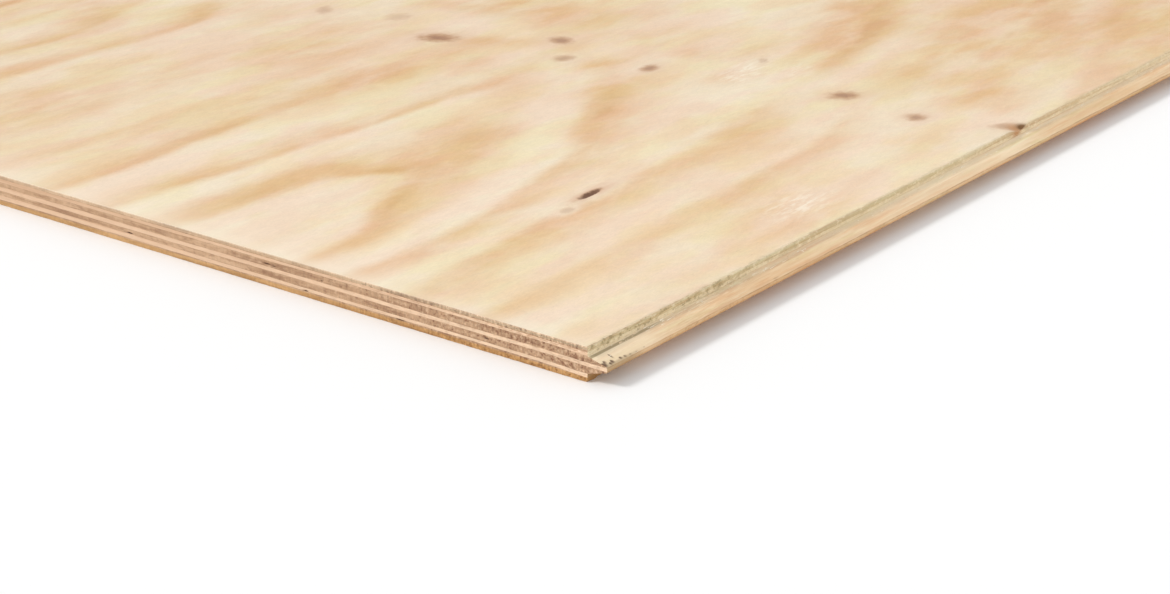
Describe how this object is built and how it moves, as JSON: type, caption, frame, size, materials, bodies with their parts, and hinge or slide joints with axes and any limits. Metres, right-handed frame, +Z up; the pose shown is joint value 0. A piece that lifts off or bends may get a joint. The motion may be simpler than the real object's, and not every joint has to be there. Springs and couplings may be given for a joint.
{
  "type": "plywood sheet",
  "caption": "Flat softwood plywood sheet with crossed veneers, square sawn ends, and a tongue and groove machined along its long edges.",
  "frame": {"origin": "middle of the underside: halfway along the length, halfway across the overall width with the tongue, on the floor that the sheet lies on", "axes": "+X along the length and the grain of the face, +Y across the sheet from the tongue edge towards the groove edge, +Z up through the veneers to the face"},
  "size_m": [2.44, 1.22, 0.018],
  "materials": {
    "face_wood": "raw sanded pine veneer with broad figure and small knots",
    "crossband_wood": "raw pine veneer laid across the sheet, sawn edges",
    "core_wood": "raw pine veneer laid along the sheet, sawn and milled edges",
    "back_wood": "raw unsanded pine veneer with knots"
  },
  "bodies": {
    "root": {"back_veneer": "back_wood", "lower_crossband": "crossband_wood", "lower_core": "core_wood", "centre_crossband": "crossband_wood", "upper_core": "core_wood", "upper_crossband": "crossband_wood", "face_veneer": "face_wood"}
  },
  "joints": []
}
